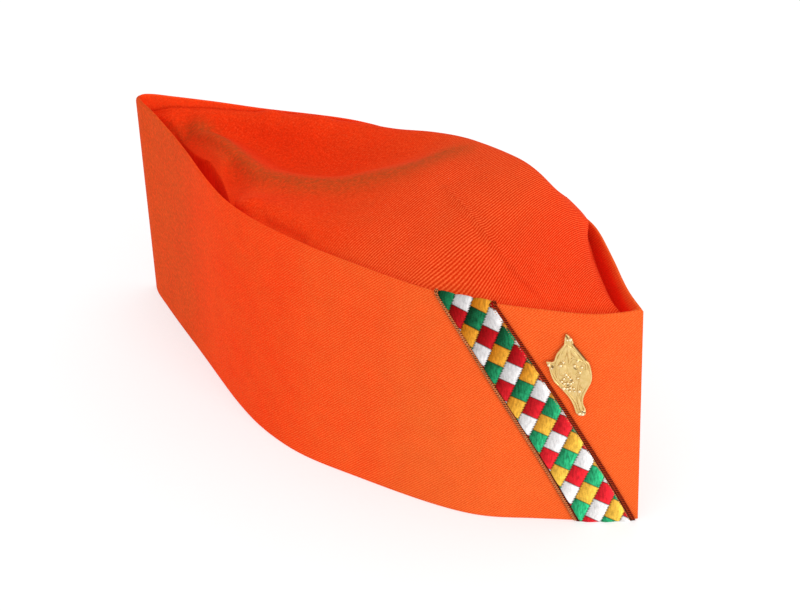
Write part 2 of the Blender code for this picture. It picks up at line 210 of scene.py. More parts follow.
class Wire:
    # A socket of a material's nodes; maths on it adds Math nodes
    def __init__(self, tree, socket=None):
        self.tree = tree
        self.socket = socket

    def add(self, kind, settings, values, out=0):
        # A node of a kind: its settings are set first, then its sockets' values or links
        node = self.tree.nodes.new("ShaderNode" + kind)
        for name, value in settings.items():
            setattr(node, name, value)
        for name, value in values.items():
            if isinstance(value, Wire):
                self.tree.links.new(value.socket, node.inputs[name])
            else:
                node.inputs[name].default_value = value
        return Wire(self.tree, node.outputs[out])

    def maths(self, operation, *values):
        return self.add("Math", {"operation": operation}, dict(enumerate(values)))

    def __add__(self, other):
        return self.maths("ADD", self, other)

    def __sub__(self, other):
        return self.maths("SUBTRACT", self, other)

    def __rsub__(self, other):
        return self.maths("SUBTRACT", other, self)

    def __mul__(self, other):
        return self.maths("MULTIPLY", self, other)

    def __truediv__(self, other):
        return self.maths("DIVIDE", self, other)

    def __mod__(self, other):
        return self.maths("FLOORED_MODULO", self, other)

    def __gt__(self, other):
        return self.maths("GREATER_THAN", self, other)

    __radd__ = __add__
    __rmul__ = __mul__

    def wave(self):
        # From 0 to 1 and back over each whole step of the value
        return self.maths("COSINE", self * (2 * math.pi)) * -0.5 + 0.5

    def clamped(self):
        return self.add("Clamp", {}, {"Value": self})

    def rise(self, low, high):
        # 0 below low, 1 above high, smooth between
        return self.add("MapRange", {"interpolation_type": "SMOOTHSTEP"},
                        {"Value": self, "From Min": low, "From Max": high})

    def noise(self, scale, detail=3.0, roughness=0.6, stretch=(1, 1, 1), turn=0.0):
        place = self.add("Mapping", {}, {"Vector": self, "Rotation": (0, 0, turn)})
        place = self.add("Mapping", {}, {"Vector": place, "Scale": stretch})
        return self.add("TexNoise", {}, {"Vector": place, "Scale": scale, "Detail": detail,
                                         "Roughness": roughness})

    def mixed(self, share, other):
        # This colour, moved to the other one by share
        other = other if isinstance(other, Wire) else (*other, 1)
        return self.add("Mix", {"data_type": "RGBA"}, {0: share, 6: self, 7: other}, out=2)

    def darker(self, share):
        # This colour multiplied by a number from 0 to 1 or more
        return self.add("VectorMath", {"operation": "SCALE"}, {0: self, "Scale": share})

    def dye(self, colour):
        body = self.add("RGB", {}, {})
        body.socket.default_value = (*colour, 1)
        return body

    def part(self, axis):
        return self.add("SeparateXYZ", {}, {"Vector": self}, out="XYZ".index(axis))

    def painted(self, name):
        return self.add("Attribute", {"attribute_name": name}, {}, out=2)

    def clothPlace(self):
        return self.add("UVMap", {"uv_map": "cloth"}, {})

    def objectPlace(self):
        return self.add("TexCoord", {}, {}, out=3)

    def relief(self, strength, distance):
        return self.add("Bump", {}, {"Strength": strength, "Distance": distance, "Height": self})


def newMaterial(name, **settings):
    # A material, the wire that adds its nodes, and its shader
    material = bpy.data.materials.new(name)
    material.use_nodes = True
    tree = material.node_tree
    shader = tree.nodes["Principled BSDF"]
    for socket, value in settings.items():
        shader.inputs[socket.replace("_", " ")].default_value = value
    return material, Wire(tree), shader


def feed(wires, shader, **links):
    for socket, wire in links.items():
        wires.tree.links.new(wire.socket, shader.inputs[socket.replace("_", " ")])


def linear(red, green, blue):
    # A colour given as on screen, from 0 to 255, in linear light
    return tuple(((c / 255 + 0.055) / 1.055) ** 2.4 if c > 10 else c / 255 / 12.92
                 for c in (red, green, blue))


twill = dict(
    lit=(1.0, 0.22, 0.085),         # on its ribs
    deep=(1.0, 0.041, 0.0037),      # between its ribs, and painted shade in its folds and where less light falls
    faded=(0.48, 0.082, 0.0150),    # painted sheen and shade: browner and darker where the cloth turns from the light
    gap=(1.0, 0.010, 0.003),        # painted light in its narrow gaps: a bright red that stands in for light bouncing there
    through=(0.21, 0.004, 0.001),   # painted glow: emission in the gaps that stands in for light that comes through the cloth
    speckle=3.0,                    # grain of the nap
    toDeep=0.5,                     # how far ribs and grain move the colour
    toLit=0.35,
    wobble=0.35,                    # how far the ribs stray
    blotch=0.45,                    # slow changes of the colour
    uneven=0.16,                    # and of how light it is
    rubbed=0.85,                    # how much grain is left where no ribs show
    patchy=2.2,                     # how broken up the painted sheen and shade is
    clumps=0.5,                     # clumps of fibre where the nap is rubbed
    sizes=dict(wobble=260, grain=1500, blotch=55, pile=620, uneven=120),   # repeats in a metre
    relief=(0.6, 0.10 * mm),        # strength and depth
    fuzz=0.015,
    fuzzRoughness=0.45,
    fuzzColour=(0.75, 0.55, 0.30, 1),
    roughness=0.9,
    gloss=0.03,
)


def twillMaterial(name, angle, pitch, ribs, light, contrast, warm):
    # Slanting ribs: warm ridges, deeper valleys, and fuzz that breaks them up
    material, wires, shader = newMaterial(
        name, Sheen_Weight=twill["fuzz"], Sheen_Roughness=twill["fuzzRoughness"],
        Sheen_Tint=twill["fuzzColour"], Specular_IOR_Level=twill["gloss"],
        Roughness=twill["roughness"], Emission_Strength=1.0)
    cloth = wires.clothPlace()
    sizes = twill["sizes"]
    turned = wires.add("Mapping", {}, {"Vector": cloth, "Rotation": (0, 0, -angle)})
    wobble = (cloth.noise(sizes["wobble"], detail=2) - 0.5) * twill["wobble"]
    ridge = (turned.part("Y") / pitch + wobble).wave()
    grain = cloth.noise(sizes["grain"], detail=3, roughness=0.75) - 0.5
    depth, wear, fresh, glow = map(wires.painted, ("depth", "faded", "fresh", "glow"))
    rubbed = fresh * (1 - twill["rubbed"]) + twill["rubbed"]
    nap = (ridge - 0.5) * ribs * fresh + grain * twill["speckle"] * rubbed
    blotch = (cloth.noise(sizes["blotch"], detail=4) - 0.5) * twill["blotch"]
    # The depth share is painted shade: it moves the colour to the deep red, with the nap's grain
    colour = wires.dye(warm).mixed((depth + blotch - nap * twill["toDeep"]).clamped(), twill["deep"])
    colour = colour.mixed((nap * twill["toLit"]).clamped(), twill["lit"])
    pile = cloth.noise(sizes["pile"], detail=2) - 0.5
    # Painted sheen and shade, broken up by the pile
    colour = colour.mixed((wear * (1 - pile * twill["patchy"])).clamped(), twill["faded"])
    # Painted light: the glow share turns the gaps bright red and makes them glow
    colour = colour.mixed((glow * 2 - 1).clamped(), twill["gap"])
    bump = (ridge * fresh + grain * rubbed).relief(*twill["relief"])
    slow = cloth.noise(sizes["uneven"], detail=2) * twill["uneven"] + 1 - twill["uneven"] / 2
    shade = 1 + nap * contrast + pile * (1 - fresh).clamped() * twill["clumps"]
    feed(wires, shader, Base_Color=colour.darker(shade * slow * light),
         Emission_Color=wires.dye(twill["through"]).darker(glow), Normal=bump)
    return material


# Band

bandCut = dict(
    height=102 * mm,
    wall=2 * mm,
    rim=0.6 * mm,         # radius of the folded rim; the wall thins towards it
    thinning=25 * mm,
    foot=0.4 * mm,        # round of the lower edge
    bevel=0.3,            # of the foot's corners, as a share of it
    slot=1 * mm,          # inner walls are sewn together where they come this close
    steepest=2.5,         # slope that the inner wall still follows
    backTip=-135 * mm,
    backCorner=4 * mm,    # the rim falls this much at the back tip
    lowestRay=0.5 * mm,   # rays stay above the solid's rounded foot
    raySlack=0.2 * mm,
    across=170,           # places along each side
    up=52,
    fold=10,
    smoothing=10,
    wave=0.45 * mm,       # height of the slow waves
    waves=((1.0, 17, 60, 1.3), (0.6, 9.5, -41, 2.1)),   # share, lengths and change of side
    swell=(0.5, -0.6),    # their share, and how far the cloth sinks between its ends
    # A range is an axis and where it starts and ends on it, in millimetres; a share of a colour
    # has its least value, then amounts that grow along their ranges
    nearFree=(("x", 60, 20), ("x", -128, -98), ("z", 4, 60)),   # where the cloth stands free
    farFree=(("x", 120, 80), ("x", -128, -98), ("z", 4, 60)),
    # Painted sheen and shade on the back of the near wall, which turns from the light
    worn=(0, (0.36, ("x", -56, -98), ("y", 1, -1))),
    # Painted light and shade: the wall is deeper red towards the back, and paler at the front tip and
    # low at the front, where more light falls
    depth=(0.20, (0.28, ("x", 66, 30)), (-0.12, ("x", 25, 62), ("z", 75, 10)),
           (0.27, ("x", 26, -28)), (-0.10, ("x", -70, -125))),
    fresh=(0.12, (0.98, ("x", -75, 40))),   # how clearly the ribs show
    # Painted glow on the whole inner face, strongest low at the front tip
    glow=(0.45, (0.50, ("x", 70, 92), ("z", 101, 92))),
    cloth=dict(angle=math.radians(43.5), pitch=0.88 * mm, ribs=1.0, light=0.885, contrast=0.16,
               warm=(0.85, 0.130, 0.019)),
)


def rimFall(x):
    inside = np.clip((x - bandCut["backTip"]) / bandCut["backCorner"], 0, 1)
    return bandCut["backCorner"] * (1 - np.sqrt(1 - (1 - inside) ** 2))


bandTree = treeOf("band")
bandTop = bandCut["height"] - bandCut["rim"]
cadTop = bandCut["height"] - bandCut["wall"] / 2   # the CAD rim rounds off above it


def outerRow(z):
    # The CAD band's outer face at a height: x, then near and far half widths
    places = stations(bandCut["across"])
    lowest = bandCut["lowestRay"]
    low = z * (1 - bandCut["backCorner"] / bandCut["height"]) - bandCut["raySlack"]
    back = castOn(bandTree, (-farAway, 0, max(low, lowest)), (1, 0, 0)).x
    front = castOn(bandTree, (farAway, 0, min(max(z, lowest), cadTop)), (-1, 0, 0)).x
    xs = back + (front - back) * places
    zs = np.clip(z * (1 - rimFall(xs) / bandCut["height"]), lowest, cadTop)
    halves = []
    for way in (1, -1):
        ys = [abs(castOn(bandTree, (x, -way * farAway, h), (0, way, 0)).y) for x, h in zip(xs, zs)]
        ys[0] = ys[-1] = 0.0
        halves.append(soften(fillGaps(np.array(ys)), bandCut["smoothing"]))
    return xs, halves[0], halves[1]


def insetRing(row, z, inset):
    # Points round the band at an inset from its outer face, near side first, back to front
    xs, *outer = row
    inner = []
    for half in outer:
        slope = np.clip(np.gradient(half, xs), -bandCut["steepest"], bandCut["steepest"])
        inner.append(half - inset * np.sqrt(1 + slope * slope))
    narrowest = bandCut["slot"] * inset / bandCut["wall"]
    room = np.flatnonzero(inner[0] + inner[1] > narrowest)
    first, last = room[0], room[-1]
    if inset == 0:
        first, last = 0, len(xs) - 1
    places = xs[first] + (xs[last] - xs[first]) * stations(bandCut["across"])
    near = np.interp(places, xs, inner[0])
    far = np.interp(places, xs, inner[1])
    heights = z * (1 - rimFall(places) / bandCut["height"])
    for end in (0, -1):
        middle = (near[end] - far[end]) / 2
        near[end], far[end] = middle, -middle
    nearSide = np.stack([places, -near, heights], 1)
    farSide = np.stack([places, far, heights], 1)[::-1]
    return np.concatenate([nearSide, farSide[1:]])


def bandSection():
    # Inset and height of each row: up the outer face, round the fold, down the inner face
    foot, wall, top, radius = bandCut["foot"], bandCut["wall"], bandTop, bandCut["rim"]
    corner = foot * bandCut["bevel"]
    heights = [foot + (top - foot) * k / bandCut["up"] for k in range(bandCut["up"] + 1)]
    rows = [(foot, 0.0), (corner, corner)] + [(0.0, z) for z in heights]
    turns = [math.pi * k / bandCut["fold"] for k in range(1, bandCut["fold"])]
    rows += [(radius - radius * math.cos(t), top + radius * math.sin(t)) for t in turns]
    for z in heights[::-1]:
        rows.append((wall - (wall - 2 * radius) * max(0, 1 - (top - z) / bandCut["thinning"]), z))
    return rows + [(wall - corner, corner), (wall - foot, 0.0), (foot, 0.0)]


def bandWave(points):
    # The slow waves of cloth that stands free: none at the base, the tips or under the ribbon
    x, z = points[..., 0] / mm, points[..., 2] / mm
    side = np.sign(points[..., 1])
    slow = sum(high * np.sin(x / along + z / up + side * turn)
               for high, along, up, turn in bandCut["waves"])
    near = graded(points, 0, (1, *bandCut["nearFree"]))
    far = graded(points, 0, (ease(side, -0.5, 0.5), *bandCut["farFree"]))
    swell, sink = bandCut["swell"]
    return bandCut["wave"] * (swell * slow + sink) * np.maximum(near, far)


def bandGlow(places):
    # Painted glow on the inner face, most in the gap at the front, that stands in for light that
    # comes through the wall
    inside = ease(-places[:, 4] * np.sign(places[:, 1]), 0, 0.5)
    return inside * graded(places, *bandCut["glow"])


def paint(piece, **shares):
    # Each share of the dye comes from its ranges, or from the vertices' places and normals
    mesh = piece.data
    columns = []
    for kind in ("co", "normal"):
        values = np.empty(len(mesh.vertices) * 3, np.float32)
        mesh.vertices.foreach_get(kind, values)
        columns.append(values.reshape(-1, 3))
    places = np.concatenate(columns, axis=1)
    for name, share in shares.items():
        value = share(places) if callable(share) else graded(places, *share)
        mesh.attributes.new(name, "FLOAT", "POINT")
        mesh.attributes[name].data.foreach_set("value", value.astype(np.float32))


def makeBand():
    print("band")
    section = np.array(bandSection())
    rows = []
    flat = {}
    for inset, z in section:
        key = round(min(max(z, 0), bandTop), 6)
        if key not in flat:
            flat[key] = outerRow(key)
        rows.append(insetRing(flat[key], z, inset))
    points = np.array(rows)
    points[..., 1] += np.sign(points[..., 1]) * bandWave(points)
    cloth = np.zeros((*points.shape[:2], 2))
    run = runAlong(points[len(rows) // 4])
    cloth[..., 0] = run - run[bandCut["across"]]
    cloth[..., 1] = runAlong(section)[:, None]
    band = clothGrid("bandTwill", points, cloth)
    weld(band, closed=True)
    smoothShaded(band, 60)
    paint(band, faded=bandCut["worn"], depth=bandCut["depth"], fresh=bandCut["fresh"], glow=bandGlow)
    return band, flat


def wallTable(flat, step=0.5 * mm, length=200 * mm):
    # Points of the near wall's outer face, by height and by the way along it from the front tip
    heights = np.array(sorted(key for key in flat if key > 0))
    places = np.arange(0, length, step)
    table = []
    for z in heights:
        xs, near, _ = flat[z]
        line = np.stack([xs, -near], 1)[::-1]
        run = runAlong(line)
        table.append(np.stack([np.interp(places, run, line[:, 0]),
                               np.interp(places, run, line[:, 1])], 1))
    return heights, places, np.array(table)


def wallPoint(table, s, z):
    # Where the wall is, s along it from the front tip and z up, with its outward direction
    heights, places, grid = table
    s, z = np.broadcast_arrays(np.asarray(s, float), np.asarray(z, float))
    row = np.interp(z, heights, np.arange(len(heights)))
    low = np.clip(np.floor(row).astype(int), 0, len(heights) - 2)
    up = (row - low)[..., None]

    def at(distance):
        column = np.clip(distance / (places[1] - places[0]), 0, len(places) - 1.001)
        left = np.floor(column).astype(int)
        side = (column - left)[..., None]
        rows = [grid[k, left] * (1 - side) + grid[k, left + 1] * side for k in (low, low + 1)]
        return rows[0] * (1 - up) + rows[1] * up

    place = at(s)
    beyond = np.minimum(s, 0)[..., None]
    reach = 2 * mm
    back = at(np.maximum(s, 0) + reach)
    front = at(np.maximum(s - reach, 0))
    along = (back - front) / np.linalg.norm(back - front, axis=-1, keepdims=True)
    place = place + beyond * along
    out = np.stack([along[..., 1], -along[..., 0]], -1)
    out = np.where(out[..., 1:] > 0, -out, out)
    points = np.concatenate([place, z[..., None]], -1)
    return points, np.concatenate([out, np.zeros_like(z)[..., None]], -1)


# Crown

behindRim = (("x", -50, -34), ("y", 0, -6), ("z", 104, 98))   # the strip just inside the near rim
crownCut = dict(
    wall=1.3 * mm,
    clear=0.25 * mm,      # more room than the CAD leaves beside the band
    foot=0.4 * mm,
    skirtTop=62 * mm,     # below it the skirt hangs straight
    tipAt=88 * mm,        # the top's tips are here
    tipTop=90 * mm,
    hem=14 * mm,          # below it the skirt flares out to the band
    flare=0.9 * mm,
    flareFrom=(1, 6),     # millimetres from the middle, so the tips keep their place
    fanHeight=38 * mm,    # the rays over the top fan out like this, even at the tips
    fanWidth=0.4 * mm,
    across=210,
    skirtRows=12,
    topRows=150,
    smoothing=(14, 3),    # along and across
    weld=0.008 * mm,
    farSide=(0.1, 0.6),   # how far the cloth faces the far wall where its folds go flat
    farLow=("z", 104, 101),
    # The cloth's ribs crowd together and turn towards the front tip
    crowding=(0.96, (0.40, ("x", 50, 88))),
    lean=(0.27, (-0.37, ("x", 45, 92))),
    # Painted shade: the top is deepest red at the back and the front tip and palest in the middle;
    # painted light makes it paler behind the near rim
    depth=(1.0, (-0.42, ("x", -60, 50)), (0.50, ("x", 58, 90)), (-0.45, *behindRim)),
    fresh=(0.03, (0.22, ("x", -60, -10)), (0.82, ("x", -4, 34))),
    # Painted glow behind the near rim, where the rim shades the crown
    glow=(0, (0.46, *behindRim)),
    worn=dict(most=0.58, far=4.0, near=7.5, fade=("x", 40, 20)),   # painted sheen and shade beside the crest
    # Its light, below the band's, is painted shade: the top takes less of the lamp than the wall
    cloth=dict(angle=math.pi / 2, pitch=1.0 * mm, ribs=1.5, light=0.80, contrast=0.30,
               warm=(0.83, 0.094, 0.0132)),
    folds=(               # line, height, way off it, half width and ranges, in millimetres
        ("crease", 1.0, 0, 1.2, ("x", 26, 44), ("x", 101, 85)),
        ("crease", -0.45, 2.6, 1.6, ("x", 26, 44), ("x", 101, 85)),
        ("crest", 0.5, 0, 6, ("x", 20, -5)),
        ("dent", -1.8, 0, 2.6),
        ("knob", 1.7, 0, 3.0),
        ("hump", 3.0, 0, 7),
        ("shoulder", 2.6, 0, 5.5)),
    verge=("verge", 4.0, 0, 6, ("x", -66, -80)),   # lifts the far edge of the back pocket
    dome=(1.4, ("x", 66, 84), ("z", 80, 92), ("y", -18, 0)),
    waveTop=("z", 80, 95),
    longWave=dict(high=0.22, along=7.5, sway=2.2, across=13, fade=("x", 40, -40)),
    crossWave=dict(high=0.18, along=19, across=6.1),
    lines=dict(           # millimetres, on the crown
        crease=((34.2, 3.1, 117.2), (42.7, -0.1, 116.1), (51.5, -3.4, 114.8), (58.2, -5.8, 113.1),
                (64.8, -8.3, 111.1), (74, -10.9, 107.9), (85.2, -13.1, 103.7), (95.2, -13.9, 100)),
        crest=((-105.7, -1, 95.5), (-102.3, 6, 93.9), (-78.5, -3.4, 100.6), (-61.8, -10.5, 101.4),
               (-47.2, -14.9, 102.3), (-27, -14.1, 104.9), (-10.4, -8.5, 108), (9.9, 5.2, 115.2),
               (18.3, 20.7, 118.8), (28.2, 27.6, 121.5)),
        dent=((-25.6, -39.6, 99), (-22, -40, 99), (-13.6, -39.8, 99), (-5.1, -40, 99)),
        knob=((-44.4, -33.3, 97.6), (-39.1, -35.8, 100), (-35.6, -35.3, 102.1)),
        hump=((-72, 24, 98), (-56, 27, 102)),
        verge=((-116, 4, 92), (-100, 12, 93), (-86, 18, 95), (-74, 23, 97)),
        shoulder=((70, 33, 107), (80, 30.5, 104)),
    ),
    pocket=dict(          # millimetres, on the crown
        brink=((-110, -0.5, 88), (-96.3, -8.0, 91.5), (-85.5, -12.9, 94), (-76.9, -15.4, 96.5),
               (-69.5, -19.6, 97.5), (-63.7, -26.2, 96), (-56, -32, 95.5), (-47, -37.5, 95.5),
               (-40, -42, 94)),
        slope=0.42,            # of the cloth above the brink
        bank=13,               # how far that cloth reaches
        near=0.3,              # the share of that way where it already lies on its slope
        edge=1.4,
        deep=15,
        ends=(("x", -112, -104), ("x", -40, -46)),
        walls=(58, 80),        # heights between which it opens
        glowEdge=(0.1, 0.9),
    ),
)


def crownTip(tree, side, z):
    hit = castOn(tree, (side * farAway, 0, z), (-side, 0, 0))
    return hit.x


def skirtRow(tree, z, places):
    # The skirt's near and far points at a height, back to front
    back, front = crownTip(tree, -1, z), crownTip(tree, 1, z)
    xs = back + (front - back) * places
    rows = []
    for way in (1, -1):
        ys = np.array([castOn(tree, (x, -way * farAway, z), (0, way, 0)).y for x in xs])
        ys[0], ys[-1] = 0.0, 0.0
        ys = fillGaps(ys)
        ys = np.where(np.abs(ys) > crownCut["clear"], ys + way * crownCut["clear"], ys)
        rows.append(np.stack([xs, ys, np.full(len(xs), z)], 1))
    return rows


def topSection(tree, x, near, far, count):
    # Evenly spaced points over the crown's top at a place, from the near skirt to the far one
    pivot = (near + far) / 2
    wide = max((far - near) / 2, crownCut["fanWidth"])
    turns = np.linspace(math.pi, 0, 2 * count + 1)
    points = []
    for turn in turns:
        way = Vector((0, wide * math.cos(turn), crownCut["fanHeight"] * math.sin(turn))).normalized()
        start = Vector((x, pivot, crownCut["skirtTop"])) + way * farAway
        hit = castOn(tree, start, -way)
        points.append((hit.y, hit.z))
    points = np.array(points)
    points = np.stack([fillGaps(points[:, 0]), fillGaps(points[:, 1])], 1)
    run = runAlong(points)
    at = np.linspace(0, run[-1], count + 1)
    return np.stack([np.interp(at, run, points[:, 0]), np.interp(at, run, points[:, 1])], 1)


def foldOn(points, line, high, off, wide, *ranges):
    # A fold's height: it runs beside a line and fades out past its ranges
    away = distanceTo(points, np.array(crownCut["lines"][line]) * mm) / mm
    return graded(points, 0, (high * np.exp(-((away - off) / wide) ** 2), *ranges))


def crownFolds(points):
    # How far each point moves out of the cloth for its creases and slow waves
    x, y = points[..., 0] / mm, points[..., 1] / mm
    long, cross, top = crownCut["longWave"], crownCut["crossWave"], crownCut["waveTop"]
    sway = long["sway"] * np.sin(y / long["across"])
    alongWave = long["high"] * np.sin(x / long["along"] + sway)
    acrossWave = cross["high"] * np.sin(y / cross["across"] + x / cross["along"])
    steps = (crownCut["dome"], (alongWave, top, long["fade"]), (acrossWave, top))
    folds = sum(foldOn(points, *fold) for fold in crownCut["folds"])
    return graded(points, folds, *steps) * mm


def beyondBrink(points):
    # How far a place is past the pocket's brink, how high the brink is, and the pocket's ends
    pocket = crownCut["pocket"]
    x, y = points[..., 0] / mm, points[..., 1] / mm
    brink = np.array(pocket["brink"])
    past = np.interp(x, brink[:, 0], brink[:, 1]) - y
    return past, np.interp(x, brink[:, 0], brink[:, 2]), graded(points, 0, (1, *pocket["ends"]))


def pocketHeights(points):
    # The cloth slopes from the crest to the brink, then falls into the back pocket
    pocket = crownCut["pocket"]
    z = points[..., 2] / mm
    past, height, ends = beyondBrink(points)
    share = ease(past, -pocket["bank"], -pocket["near"] * pocket["bank"])
    upper = z + (height - pocket["slope"] * past - z) * share
    lower = z - pocket["deep"]
    wanted = upper + (lower - upper) * ease(past, 0, pocket["edge"])
    lift = foldOn(points, *crownCut["verge"])
    return (z + lift + (wanted - z) * ends * ease(z, *pocket["walls"])) * mm


def drawnCloth(points):
    # The cloth's own places, in metres
    crowding = graded(points, *crownCut["crowding"])
    steps = np.diff(points[..., 0], axis=1) * (crowding[:, 1:] + crowding[:, :-1]) / 2
    cloth = np.zeros((*points.shape[:2], 2))
    cloth[:, 1:, 0] = np.cumsum(steps, axis=1)
    for i in range(points.shape[1]):
        run = runAlong(points[:, i])
        cloth[:, i, 1] = run - run[-1] / 2
    cloth[..., 0] -= cloth[..., 1] * graded(points, *crownCut["lean"])
    return cloth


def makeCrown():
    print("crown")
    tree = treeOf("crown")
    places = stations(crownCut["across"])
    lowest = crownCut["foot"]
    nearRows, farRows = [], []
    for k in range(crownCut["skirtRows"] + 1):
        z = lowest + (crownCut["skirtTop"] - lowest) * k / crownCut["skirtRows"]
        near, far = skirtRow(tree, z, places)
        nearRows.append(near)
        farRows.append(far)
    back, front = (crownTip(tree, side, crownCut["tipAt"]) for side in (-1, 1))
    xs = back + (front - back) * places
    near = np.interp(xs, nearRows[-1][:, 0], nearRows[-1][:, 1])
    far = np.interp(xs, farRows[-1][:, 0], farRows[-1][:, 1])
    count = crownCut["topRows"]
    top = np.zeros((count + 1, len(xs), 3))
    for i, x in enumerate(xs[1:-1], 1):
        section = topSection(tree, x, near[i], far[i], count)
        top[:, i, 0] = x
        top[:, i, 1:] = section
    for tip, beside, side in ((0, 1, -1), (-1, -2, 1)):
        heights = (top[:, beside, 2] + top[::-1, beside, 2]) / 2
        ends = np.array([crownTip(tree, side, min(z, crownCut["tipTop"])) for z in heights])
        top[:, tip] = np.stack([ends, np.zeros(count + 1), heights], 1)
    points = np.concatenate([nearRows[:-1], top, farRows[-2::-1]])
    for axis, times in zip((1, 0), crownCut["smoothing"]):
        points = soften(points, times, axis=axis)
    tips = points[:, (0, -1)].copy()
    cloth = drawnCloth(points)
    rise = pocketHeights(points) - points[..., 2]
    out = outwards(points)
    facing = ease(out[..., 1], *crownCut["farSide"])   # the far side stays inside the band
    free = 1 - graded(points, 0, (facing, crownCut["farLow"]))
    points = points + out * (crownFolds(points) * free)[..., None]
    points[..., 2] += rise
    low = np.clip(1 - points[..., 2] / crownCut["hem"], 0, 1) ** 2
    wide = ease(np.abs(points[..., 1]) / mm, *crownCut["flareFrom"])
    points[..., 1] += np.sign(points[..., 1]) * crownCut["flare"] * low * wide
    points[:, (0, -1)] = tips
    crown = clothGrid("crownTwill", points, cloth)
    weld(crown, distance=crownCut["weld"])
    applied(crown, "SOLIDIFY", thickness=crownCut["wall"], offset=-1, use_rim=True)
    smoothShaded(crown, 60)
    paint(crown, faded=crownWear, depth=crownCut["depth"], fresh=crownCut["fresh"], glow=crownGlow)
    return crown


def crownWear(places):
    # Painted sheen and shade along the crest and down its near side, where the cloth turns from the
    # light
    worn = crownCut["worn"]
    line = np.array(crownCut["lines"]["crest"])
    beyond = places[:, 1] / mm - np.interp(places[:, 0] / mm, line[:, 0], line[:, 1])
    away = distanceTo(places[:, :3], line * mm) / mm
    share = worn["most"] * np.exp(-(away / np.where(beyond > 0, worn["far"], worn["near"])) ** 2)
    return graded(places, 0, (share, worn["fade"]))


def crownGlow(places):
    # Painted glow in the pocket and in behind the near rim, that stands in for light that comes
    # through the band and lightens their shade
    past, _, ends = beyondBrink(places)
    pocketGlow = ease(past, *crownCut["pocket"]["glowEdge"]) * ends
    return np.maximum(pocketGlow, graded(places, *crownCut["glow"]))


# Ribbon

ribbonCut = dict(
    width=24.3 * mm,      # measured level along the wall
    top=67.6 * mm,        # middle at the rim, along the wall from the front tip
    foot=12.9 * mm,
    bow=2.6 * mm,         # how far its middle bends off a straight line
    turnIn=7 * mm,        # its way down inside the rim
    gap=0.15 * mm,        # between it and the wall
    thick=0.4 * mm,
    step=0.3 * mm,
    columns=76,
    edge=0.3 * mm,        # from the weave to the ribbon's edge
    lowest=0.05 * mm,     # its foot stays off the floor
    pad=0.42 * mm,        # how far each satin block stands up
    seam=1.3 * mm,        # how far in from its seams
    fullness=0.7,         # lower is fuller
    margin=(0.4 * mm, 2 * mm),   # the blocks flatten this close to the edges
    slack=((-10, 1.6), (3, 1.5), (16, 1.05), (34, 0.5), (56, 0.12), (65, 0.2), (81, 0.7),
           (88, 1.3), (96, 2.1), (101, 2.6)),   # millimetres down and along: an uneven weave
    checks=dict(          # millimetres along the ribbon and across it
        start=(-6.01, -7.70),
        row=9.096,
        column=(3.18, 6.757),
        shift=-0.39,
        # Yellow, red, green and white, in painted shade and in painted shine: shaded and lit copies
        # of each dye
        dull=(linear(206, 116, 10), linear(144, 0, 2), linear(6, 50, 22), linear(208, 204, 204)),
        bright=(linear(255, 212, 84), linear(255, 46, 58), linear(54, 202, 136),
                linear(255, 254, 254)),
        maroon=linear(92, 26, 14),
        level=0.78,       # satin in the shade of its own threads
        darkest=0.12,
        mottles=(1.2, 1.1, 1.9, 0.8),   # how uneven the satin of each colour is
        shine=0.40,       # painted shine: how much brighter a block's front half is, as a share
        slant=0.40,       # and how much lighter, as painted light
        ends=0.30,        # painted highlight: how much brighter the satin is along the front selvedge
        endsFrom=(5.0, 8.8),
        spread=100,       # the painted light grows down the ribbon to here
        bias=1.25,        # above 1 the painted shade reaches further
        frontEdge=8.9,    # where the selvedges start, across the ribbon
        backEdge=-9.6,
        stitch=0.9,       # the seams jog once in each stitch
        jog=0.22,
        ragged=0.4,       # how uneven the seams are
        seams=(0.05, 0.5),      # where their shade starts to fade and ends
        seamShade=0.65,
        lie=math.radians(28),   # how the satin threads lie
        stretch=(0.35, 1.2, 1),
        threads=1.2,      # how much threads and mottle show
        mottle=0.5,
        sizes=dict(ragged=900, threads=1100, mottle=330),   # repeats in a metre
        relief=(0.5, 0.12 * mm),   # strength and depth
        roughness=0.45,
        gloss=0.03,
    ),
    cordStart=0.6 * mm,   # up from the ribbon's foot
    cordStep=0.2 * mm,
    ply=0.13,             # how deep a cord's strands are cut, as a share of its radius
    twist=1.1 * mm,       # one turn of its strands
    selvedges=(           # cords: how far in from the edge, and radius, in millimetres
        dict(name="ribbonEdgeBack", side=-1, cords=((-0.38, 0.38), (0.40, 0.38)),
             dyes=((204, 110, 60), (84, 30, 12))),
        dict(name="ribbonEdgeFront", side=1, cords=((0.52, 0.38),),
             dyes=((152, 42, 14), (52, 6, 2))),
        dict(name="ribbonEdgeInner", side=1, cords=((1.26, 0.38),),
             dyes=((158, 56, 24), (60, 10, 2))),
    ),
    dashStart=0.8 * mm,
    dashes=(              # half length, half width and half height, in millimetres
        dict(side=-1, inset=0.2, every=0.98, half=(0.62, 0.20, 0.18), lean=0.9, lift=0.3),
        dict(side=1, inset=2.45, every=0.90, half=(0.40, 0.20, 0.20), lean=-0.6, lift=0.2),
    ),
    dashDyes=((204, 146, 100), (150, 84, 50)),
    thread=dict(size=1500, strands=0.7, mottle=0.5, paler=0.1, shades=(0.35, 0.65),
                relief=(0.4, 0.05 * mm), roughness=0.7, gloss=0.04),
)
ribbonEnd = -(ribbonCut["turnIn"] + math.pi * bandCut["rim"])   # inside the rim
ribbonHalf = ribbonCut["width"] / 2


def latticeAxes():
    # Down a strip of blocks and from strip to strip, in millimetres
    checks = ribbonCut["checks"]
    row, (down, over) = checks["row"], checks["column"]
    second = np.array((row - down, -over))
    first = np.array((down, over)) - checks["shift"] * second
    return first, second


